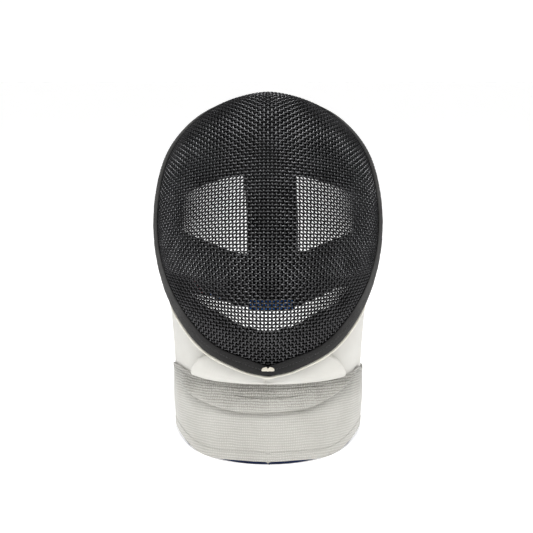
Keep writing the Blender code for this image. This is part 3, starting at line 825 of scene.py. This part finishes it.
# Folds across the front: height in the middle, how far they rise to the sides, the ways
# round where they start and stop fading, how far they stand out and how far up that reaches.
# The first follows the line of the deep fold
BIB_FOLDS = [
    (0.0000, 0.000, 0.54, 0.72, 0.0042, 0.0105),
    (0.0622, 0.004, 0.15, 0.34, 0.0026, 0.0042),
    (0.0700, -0.010, 0.25, 0.60, 0.0010, 0.0025),
]
# The line of the deep fold: way round, and height in millimetres
MAIN_FOLD = [(-0.75, 59.0), (-0.62, 54.8), (-0.51, 52.0), (-0.36, 49.6), (-0.22, 47.8),
             (0.00, 48.8), (0.26, 50.0), (0.40, 54.6), (0.50, 58.8), (0.59, 62.6),
             (0.75, 69.5)]
# The top of the silver cloth: way round and height in millimetres
LAME_TOP = [(-1.00, 60.0), (-0.91, 64.5), (-0.82, 69.5), (-0.675, 73.2), (-0.50, 73.4),
            (-0.34, 73.6), (0.00, 75.9), (0.30, 73.6), (0.56, 71.6), (0.74, 70.0),
            (0.83, 63.5), (0.90, 60.5), (1.00, 58.5)]


def bib_high(share):
    """The bib's top line, tucked in behind the trim."""
    spoke = BIB_END * share
    tuck = -0.0046 + 0.0014 * (1 - swell_round(spoke, 60, 90))
    return near_edge(spoke, tuck) - normal_near_edge(spoke, 0 * spoke) * 0.0025


def bib_top(share):
    return bib_high(share)[..., 2]


def lame_top(share):
    return np.interp(share, *np.array(LAME_TOP).T) * MM


def lowest(share):
    """The lower edge of the silver cloth: the navy lining shows under the front, and the sides
    arch up a little between the front and the rear corners."""
    away = np.abs(share)
    front = 0.0032 * (1 - swell(away, 0.14, 0.42)) - 0.0016 * hump(share, 0, 0.010)
    sides = 0.0064 * swell(away, 0.42, 0.78) * (1 - swell(away, 0.84, 0.99))
    return 0.0004 + front + sides


def bib_folds(share, height):
    """How far the bib's cloth stands out from its plain form: it rolls over a deep fold and
    two shallow creases across the front, and waves a little towards the sides."""
    away = np.abs(share)
    deep = np.interp(share, *np.array(MAIN_FOLD).T) * MM
    stand = 0 * share + 0 * height
    for level, bow, near, far, roll, spread in BIB_FOLDS:
        over = height - level - bow * away ** 2.2 - (deep if level == 0 else 0.0)
        above, below = np.maximum(over, 0), np.maximum(-over, 0)
        shape = hump(above, 0, spread) * (1 - np.exp(-above / 0.0013)) * (over > 0)
        shape = shape - 0.26 * np.exp(-above / 0.0010) * np.exp(-below / (0.30 * spread))
        stand = stand + roll * shape * (1 - swell(away, near, far))
    rise = np.clip(height / 0.064, 0, 1) * math.pi
    waves = 0.0006 * np.sin(share * 9.0 + 1.3) * np.sin(rise) * swell(away, 0.3, 0.6)
    side = 0.0008 * hump(away, 0.74, 0.05) * hump(height, 0.048, 0.016)
    belly = 0.0014 * hump(away, 0.92, 0.12) * hump(height, 0.034, 0.018)
    return stand + waves + side + belly


def bib_plain(share, height):
    """The bib's middle wall without its folds."""
    turn = np.abs(share) * QUARTER
    low = np.stack([np.copysign(BIB_HALF_WIDTH * np.sin(turn), share),
                    CHIN[1] + BIB_FRONT + BIB_DEPTH * (1 - np.cos(turn)) ** BIB_SQUARENESS,
                    0 * turn], axis=-1)
    high = bib_high(share)
    rise = height / high[..., 2]
    flare = rise ** BIB_FLARE
    return low + (high - low) * np.stack([flare, flare, rise], axis=-1)


def bib_outward(share, height):
    """The outward direction of the plain bib."""
    step = 0.0015
    height = np.maximum(height, 2 * step)
    up_way = bib_plain(share, height + step) - bib_plain(share, height - step)
    round_way = bib_plain(share + 0.01, height) - bib_plain(share - 0.01, height)
    return unit(np.cross(round_way, up_way))


def bib_surface(share, height, out=0.0):
    """Places on the bib at a way round, from -1 to 1, a height over the floor, and a
    distance out from its middle wall."""
    stand = np.asarray(out + bib_folds(share, height))
    return bib_plain(share, height) + bib_outward(share, height) * stand[..., None]


def bib_layer(name, cuts, low, high, out, wall, finish, node, reach=None, puff=None):
    """One layer between two heights, out from the bib's middle wall. reach narrows it by
    height, and puff raises it."""
    def place(across, up):
        share = 2 * across - 1
        if reach:
            share = share * reach(up)
        bottom, top = low(share), high(share)
        height = bottom + (top - bottom) * up
        return bib_surface(share, height, out + (puff(across, up) if puff else 0.0))
    return sew(name, cuts, place, wall, finish, node)


def lame_hems(across, up):
    """The turned top hem and the turned bottom hem, each pressed in along its stitches, and
    the seam up the middle."""
    top = 0.0004 * swell(up, TOP_HEM, 0.95) - 0.0003 * hump(up, TOP_HEM, 0.006)
    bottom = 0.0003 * (1 - swell(up, 0.105, 0.12)) - 0.0002 * hump(up, LOW_HEM, 0.007)
    middle = -0.0006 * hump(across, 0.497, 0.0030) * (1 - swell(up, 0.12, 0.3))
    return top + bottom + middle


def lining_puff(across, up):
    """The lining comes out at its lower edge, and lies closer in higher up."""
    return 0.0022 * (1 - swell(up, 0.004, 0.030)) - 0.0007 * swell(up, 0.15, 0.30)


def panel_reach(up):
    corner = np.clip(1 - up / 0.30, 0, 1)
    return 0.548 - 0.195 * up - 0.035 * (1 - np.sqrt(1 - corner ** 2))


def quarter_round(distance, width):
    share = np.clip(distance / width, 0, 1)
    return np.sqrt(np.maximum(share * (2 - share), 0))


def panel_puff(across, up):
    """Two raised halves, rounded down to their edges and to the seam between them, which lie
    over the top of the silver cloth."""
    outer = quarter_round(np.minimum(across, 1 - across) * 0.125, 0.0045)
    seam = 0.08 + 0.92 * quarter_round(np.abs(across - PANEL_SEAM) * 0.125, 0.0026)
    low = quarter_round(up * 0.020, 0.0035) * quarter_round((1 - up) * 0.020, 0.0045)
    return 0.0009 * (1 - swell(up, 0.08, 0.30)) + 0.0027 * outer * seam * low


def make_bib():
    body = bib_layer("bib_wall", (120, 70), lambda share: lowest(share) + 0.0012,
                     lambda share: bib_top(share) - 0.0002, 0.0, 0.0020,
                     white_cloth("white_cloth", 0.34, 0.15), "bib_body")
    lame = bib_layer("silver_bib_cloth", (190, 110), lowest, lame_top, 0.0021, 0.0010,
                     silver_cloth(), "bib_lame", puff=lame_hems)
    lining = bib_layer("navy_lining", (110, 60),
                       lambda share: np.maximum(lowest(share) - 0.0042, 0),
                       lambda share: bib_top(share) * 0.92, -0.0021, 0.0010,
                       navy_cloth(), "bib_lining", puff=lining_puff)
    panel = bib_layer("front_panel_cloth", (110, 34), lambda share: lame_top(share) - 0.0008,
                      lambda share: bib_top(share) - 0.0032, 0.0027, 0.0010,
                      white_cloth("white_panel_cloth", 0.11, 0.02), "bib_front_panel",
                      reach=panel_reach, puff=panel_puff)


def make_bib_seams():
    """The stitches along the silver cloth's hems, and a loose end of thread at the front."""
    grey = coloured_thread("grey_thread", (0.42, 0.41, 0.38))
    shares = np.linspace(-0.99, 0.99, 160)
    routes = []
    for heights in (lame_top(shares) * TOP_HEM, lowest(shares) + LOW_HEM * lame_top(shares)):
        line = bib_surface(shares, heights, 0.0026)
        routes += stitches(line, bib_outward(shares, heights), 0.0026)
    dress(tubes("lame_stitches", routes, 0.00015), grey, "bib_lame", False)
    front = bib_surface(np.array(0.0), np.array(0.0030), 0.0029)
    end = front + MM * np.array([
        (-0.1, 0.0, 1.2), (0.1, -0.2, 0.3), (-0.2, -0.3, -0.7), (0.3, -0.35, -1.5),
        (1.0, -0.3, -2.2), (1.5, -0.2, -1.9)])
    dress(tubes("hem_thread_end", [end], 0.00024), grey, "bib_lame", False)


HEAD_MIDDLE = np.array([0.0, 0.0, 0.19])
PAD_MARGIN = 0.0062        # the pads' edges lie in behind the trim
CROWN_PAD_REAR = 0.0180
CROWN_PAD_FRONT = math.radians(98.8)
CHEEK_TOP = 99.3           # degrees round the edge where the cheek pads meet the crown pad
CHEEK_TAPER = 19.0         # degrees by which the cheek pads narrow down to their lower ends
CHIN_TAPER = 8.5           # and the chin pad to both its ends
CLOTH_FRAMES = 20
CLOTH_PRESSURE = 3.0


def inside_dome(turn, swing, depth):
    return dome(turn, swing) - dome_normal(turn, swing) * np.asarray(depth)[..., None]


def behind_trim(turn, swing, depth):
    """The same, but stepping further in where the trim's inner leg lies between."""
    spoke, inward = section_to_polar(turn, swing)
    away = inward * edge_speed(spoke)
    return inside_dome(turn, swing, depth + 0.0011 * (1 - swell(away, 0.0105, 0.0130)))


def make_pad(name, cuts, place, wall, edge, voxel, caps, finish, node):
    """A pad laid on a surface and blown up as padded cloth, no further than its caps out to
    the mesh and in to the head, and smoothed."""
    piece = lay_cloth(name, *cuts, place)
    thicken(piece, wall)
    round_edges(piece, edge, 2, 60)
    face_out(piece)
    pick(piece)
    piece.data.remesh_voxel_size = voxel
    bpy.ops.object.voxel_remesh()
    start = read_points(piece)
    scene = bpy.context.scene
    cloth = piece.modifiers.new("cloth", "CLOTH")
    cloth.settings.quality = 5
    cloth.settings.mass = 0.2
    cloth.settings.use_pressure = True
    cloth.settings.uniform_pressure_force = CLOTH_PRESSURE
    cloth.settings.effector_weights.gravity = 0.0
    cloth.point_cache.frame_start = 1
    cloth.point_cache.frame_end = CLOTH_FRAMES
    for number in range(1, CLOTH_FRAMES + 1):
        scene.frame_set(number)
    pick(piece)
    bpy.ops.object.modifier_apply(modifier="cloth")
    scene.frame_set(1)
    moved = read_points(piece) - start
    towards = np.sum(moved * unit(start - HEAD_MIDDLE), axis=1)
    cap = np.where(towards > 0, *caps)
    share = np.minimum(1.0, cap / np.maximum(np.linalg.norm(moved, axis=1), 1e-9))
    write_points(piece, start + moved * share[:, None])
    modify(piece, "SMOOTH", factor=0.5, iterations=3)
    modify(piece, "SUBSURF", levels=1, render_levels=1)
    bpy.ops.object.shade_smooth()
    dress(piece, finish, node)


def crown_pad_limits():
    """Turns along the crown pad's edge, with the swings that it reaches there."""
    spoke = math.pi * (0.5 + 0.5 * np.linspace(0, 1, 61))
    nearness = np.maximum(0.0, -np.cos(spoke)) ** 6
    margin = PAD_MARGIN + (CROWN_PAD_REAR - PAD_MARGIN) * nearness
    return polar_to_section(spoke, margin / edge_speed(spoke))


def make_pads():
    finish = black_padding()
    turns, swings = crown_pad_limits()
    front, rear = CROWN_PAD_FRONT, turns[-1] - math.radians(1.6)

    def crown(across, up):
        arch = math.radians(1.3) * np.cos((2 * across - 1) * QUARTER)
        turn = front + arch * (1 - up) + (rear - front) * up
        spread = np.interp(turn, turns, swings)
        return behind_trim(turn, spread * (2 * across - 1), 0.0057)

    def edge_pad(first, last, reach, level_top=False):
        """level_top ends the pad along the crown pad's front instead of on a spoke."""
        def place(across, up):
            spoke = np.radians(first + (last - first) * across)
            start = PAD_MARGIN / edge_speed(spoke)
            share = across if last > 0 else 1 - across
            taper = (CHEEK_TAPER * (1 - share) ** 2 if level_top
                     else CHIN_TAPER * swell_round(spoke, 30, 56))
            inward = start + (np.radians(reach - taper) - start) * up
            if level_top:
                top = np.arccos(math.cos(math.radians(CHEEK_TOP)) / np.cos(inward))
                low = math.radians(min(abs(first), abs(last)))
                spoke = np.sign(last + first) * (low + (top - low) * share)
            return behind_trim(*polar_to_section(spoke, inward), 0.0047)
        return place

    for name, node, cuts, place, wall in (
            ("crown_padding", "crown_pad", (60, 40), crown, 0.0056),
            ("cheek_padding_right", "cheek_pad_right", (30, 24),
             edge_pad(55.4, CHEEK_TOP, 40.0, True), 0.0036),
            ("cheek_padding_left", "cheek_pad_left", (30, 24),
             edge_pad(-CHEEK_TOP, -55.4, 40.0, True), 0.0036),
            ("chin_padding", "chin_pad", (60, 18), edge_pad(-56.0, 56.0, 33.5), 0.0036)):
        make_pad(name, cuts, place, wall, wall * 0.3, 0.0021, (0.0008, 0.0022), finish, node)


TONGUE_HALF_WIDTH = 0.0268
TONGUE_WALL = 0.0070
TONGUE_DROP = 0.197
TONGUE_REACH = 0.0200
TONGUE_ROOT = 0.0145
TONGUE_LEAN = 0.0044       # how far its lower end hangs to the wearer's left
TONGUE_PLACES = 121
PATCH_SIZE = (0.0430, 0.0100)
# Down, back, width and crown's arch as shares, from the crown's rear edge to its end
TONGUE_ROWS = np.array([
    (0.03, 0.25, 0.74, 0.85),
    (0.08, 0.72, 0.90, 0.50),
    (0.18, 1.00, 1.00, 0.15),
    (0.36, 1.00, 1.00, 0.00),
    (0.56, 0.66, 1.00, 0.00),
    (0.76, 0.10, 1.00, 0.00),
    (0.94, -0.55, 0.98, 0.00),
    (0.98, -0.68, 0.88, 0.00),
    (1.00, -0.74, 0.66, 0.00),
])


def tongue_line():
    """Points, half widths and arch shares down the tongue's middle from its root."""
    under = 0.0033 + 0.0011 + TONGUE_WALL / 2
    roots = edge_offset(np.full(3, math.pi), np.array([1.0, 0.5, 0.0]) * TONGUE_ROOT, -under)
    crown = roots[-1]
    rows = [(*root, TONGUE_HALF_WIDTH * 0.62, 1.0) for root in roots]
    rows += [(0.0, crown[1] + TONGUE_REACH * back, crown[2] - TONGUE_DROP * down,
              TONGUE_HALF_WIDTH * width, arch) for down, back, width, arch in TONGUE_ROWS]
    line = smooth_rows(np.array(rows), np.linspace(0, len(rows) - 1, TONGUE_PLACES))
    line[:, 0] += TONGUE_LEAN * swell(crown[2] - line[:, 2], 0.02, 0.12)
    return line


def on_tongue(rows, up):
    """Rows down the tongue's middle, read where up runs from 0 at its lower end to 1."""
    return read_rows((1 - up) * (TONGUE_PLACES - 1), np.arange(TONGUE_PLACES), rows)


def crown_arch(across):
    """How far places to both sides of the crown's middle lie from it, along its rear edge."""
    step = np.array([0.05])
    rear = 0 * step + math.pi
    gap = dome_from_edge(rear - step, 0 * step) - dome_from_edge(rear, 0 * step)
    speed = np.linalg.norm(gap) / 0.05
    shift = (edge_offset(math.pi - np.abs(across) / speed, 0.0, -0.0033)
             - edge_offset(math.pi + 0 * across, 0.0, -0.0033))
    shift[..., 0] = 0.0
    return shift


def tongue_point(line, across, up, half_share):
    """Points of the tongue's middle, across it and up from its lower end."""
    rows = on_tongue(line, up)
    sideways = rows[:, 3] * half_share * (2 * across - 1)
    points = rows[:, :3] + crown_arch(sideways) * rows[:, 4:5]
    points[:, 0] += sideways
    return points


def make_tongue():
    line = tongue_line()
    make_pad("padded_tongue", (20, 90), lambda across, up: tongue_point(line, across, up, 0.985),
             0.0058, 0.0018, 0.0022, (0.0006, 0.0006), black_cover(), "tongue")
    along = unit(np.gradient(line[:, :3], axis=0))
    back = np.column_stack([0 * along[:, 0], -along[:, 2], along[:, 1]])
    threads = []
    for way in (1.0, -1.0):
        for side, first, last in ((0.075, 0.90, 0.02), (0.925, 0.02, 0.90)):
            ups = np.linspace(first, last, 120)
            out = on_tongue(back, ups) * way
            threads += stitches(tongue_point(line, side, ups, 0.965) + out * 0.0031, out, 0.0032)
    dress(tubes("tongue_stitches", threads, 0.00022), black_thread(), "tongue", False)

    fronts = line[:, :3] - back * (TONGUE_WALL / 2 + 0.0008)
    fronts = fronts[np.argsort(fronts[:, 2])]

    def patch(across, up):
        height = line[-1, 2] + 0.0030 + PATCH_SIZE[1] * up
        depth = np.interp(height, fronts[:, 2], fronts[:, 1])
        sideways = TONGUE_LEAN - 0.0018 + PATCH_SIZE[0] / 2 * (2 * across - 1)
        return np.column_stack([sideways, depth, height])
    piece = lay_cloth("blue_patch", 24, 8, patch)
    thicken(piece, 0.0010)
    round_edges(piece, 0.0002, 1)
    smooth(piece)
    dress(piece, blue_cloth(), "tongue_patch")


STRAP_ROWS = np.array([
    (0.00, 1.00, 1.00),
    (0.12, 0.985, 0.95),
    (0.36, 0.86, 0.75),
    (0.62, 0.64, 0.50),
    (0.86, 0.32, 0.22),
    (1.00, 0.00, 0.00),
])
STRAP_LOW_MIDDLE = np.array([0.0, 0.06663, 0.10818])
STRAP_TOP_MIDDLE = np.array([0.0, 0.08416, 0.15768])
STRAP_HALF_WIDTH = 0.0985
# Name and colour of each row of stitches on the strap, and where it runs across and up
STRAP_STITCHES = [("red", (1.00, 0.26, 0.28), (-0.775, -0.715), (0.20, -0.02)),
                  ("blue", (0.10, 0.35, 1.00), (-0.66, -0.55), (0.03, 0.03))]


def strap_edge(end, middle, ways):
    """An edge of the strap's half, which lies flat behind the tongue and then bends forward."""
    flat = TONGUE_HALF_WIDTH + 0.0015
    sideways = np.abs(ways) * STRAP_HALF_WIDTH
    outer = np.clip((sideways - flat) / (STRAP_HALF_WIDTH - flat), 0, 1)
    rows = smooth_rows(STRAP_ROWS, outer * (len(STRAP_ROWS) - 1))
    points = np.array([flat, end[1], end[2]]) + rows * np.array(
        [end[0] - flat, middle[1] - end[1], middle[2] - end[2]])
    points[:, 0] = np.where(outer > 0, points[:, 0], sideways)
    return points


def make_strap():
    """The elastic band from side to side behind the tongue."""
    inside = 0.0033 + 0.0006 + 0.0010
    ends = edge_offset(np.radians([69.0, 97.0]), 0.0105 * 0.35, -inside)

    def place(across, up):
        way = 2 * across - 1
        low = strap_edge(ends[0], STRAP_LOW_MIDDLE, way)
        high = strap_edge(ends[1], STRAP_TOP_MIDDLE, way)
        low[:, 2] += 0.0056 * swell(way, 0.38, 0.80)
        points = low + (high - low) * up[:, None]
        points[:, 0] *= np.sign(way)
        points[:, 1] += 0.00015 * np.sin(up * 2 * math.pi * 4)
        return points
    strap = sew("elastic_strap", (110, 24), place, 0.0018, black_elastic(), "back_strap")
    inwards = np.array([0.85, -0.53, 0.0])
    for name, colour, ways, ups in STRAP_STITCHES:
        route = place((np.linspace(*ways, 24) + 1) / 2, np.linspace(*ups, 24)) + inwards * 0.0014
        rows = stitches(route, np.tile(inwards, (24, 1)), 0.0026, 0.90)
        dress(tubes(name + "_strap_stitches", rows, 0.00075),
              coloured_thread(name + "_thread", colour), "back_strap", False)


# The camera's place and aim, and in pixels of the photograph its width, the focal length
# and how far the picture is shifted
CAMERA_PLACE = (0.0, -0.87298, 0.3475)
CAMERA_AIM = (0.0, -0.01906, 0.166)
PHOTO_WIDTH = 533.0
PHOTO_FOCAL = 970.0
PHOTO_SHIFT = -1.5
SENSOR_WIDTH = 36.0


def make_floor():
    deselect()
    bpy.ops.mesh.primitive_plane_add(size=30.0, location=(0, 0, 0))
    floor = name_piece("studio_floor")
    finish = Finish("pale_floor", (0.88, 0.88, 0.875), 0.60, Emission_Strength=0.45,
                    Emission_Color=(1.0, 1.0, 1.0, 1.0))
    floor.data.materials.append(finish.bump((finish.noise(3.0, 2.0), 0.1, 0.05)))


def aim_at(item, aim):
    way = np.asarray(aim, float) - np.asarray(item.location)
    level = math.hypot(way[0], way[1])
    item.rotation_euler = (QUARTER + math.atan2(way[2], level), 0.0,
                           math.atan2(-way[0], way[1]))


def area_light(name, place, size, energy):
    data = bpy.data.lights.new(name, "AREA")
    data.shape = "RECTANGLE"
    data.size, data.size_y = size
    data.energy = energy
    light = new_object(name, data)
    light.location = place
    aim_at(light, (0, 0, 0.2))


def light_behind(tree):
    """White behind the mask and grey in front of it, with a plain white backdrop all round."""
    nodes = Nodes(tree)
    facing = nodes.spread(nodes.split("Generated")["Y"], -0.20, 0.35, 0.14, 1.02)
    seen = nodes.add("LightPath", {}).outputs["Is Camera Ray"]
    background = tree.nodes["Background"]
    tree.links.new(nodes.maths("MAXIMUM", facing, seen), background.inputs["Strength"])
    background.inputs["Color"].default_value = (1, 1, 1, 1)


def make_studio():
    scene = bpy.context.scene
    scene.view_settings.view_transform = "Standard"
    world = bpy.data.worlds.new("white_studio")
    world.use_nodes = True
    light_behind(world.node_tree)
    scene.world = world
    area_light("top_soft_light", (0.0, -0.80, 1.60), (0.7, 0.4), 24.0)
    area_light("right_soft_light", (-1.05, -0.45, 1.35), (0.6, 0.4), 4.0)
    area_light("left_soft_light", (1.05, -0.45, 1.35), (0.6, 0.4), 4.0)
    data = bpy.data.cameras.new("camera")
    camera = new_object("camera", data)
    camera.location = CAMERA_PLACE
    aim_at(camera, CAMERA_AIM)
    data.sensor_width = SENSOR_WIDTH
    data.lens = PHOTO_FOCAL / PHOTO_WIDTH * SENSOR_WIDTH
    data.shift_x = PHOTO_SHIFT / PHOTO_WIDTH
    data.clip_start = 0.01
    scene.camera = camera


make_studio()
make_floor()
make_wire_front()
make_trim()
make_piping()
make_tab()
make_bib()
make_bib_seams()
make_pads()
make_tongue()
make_strap()
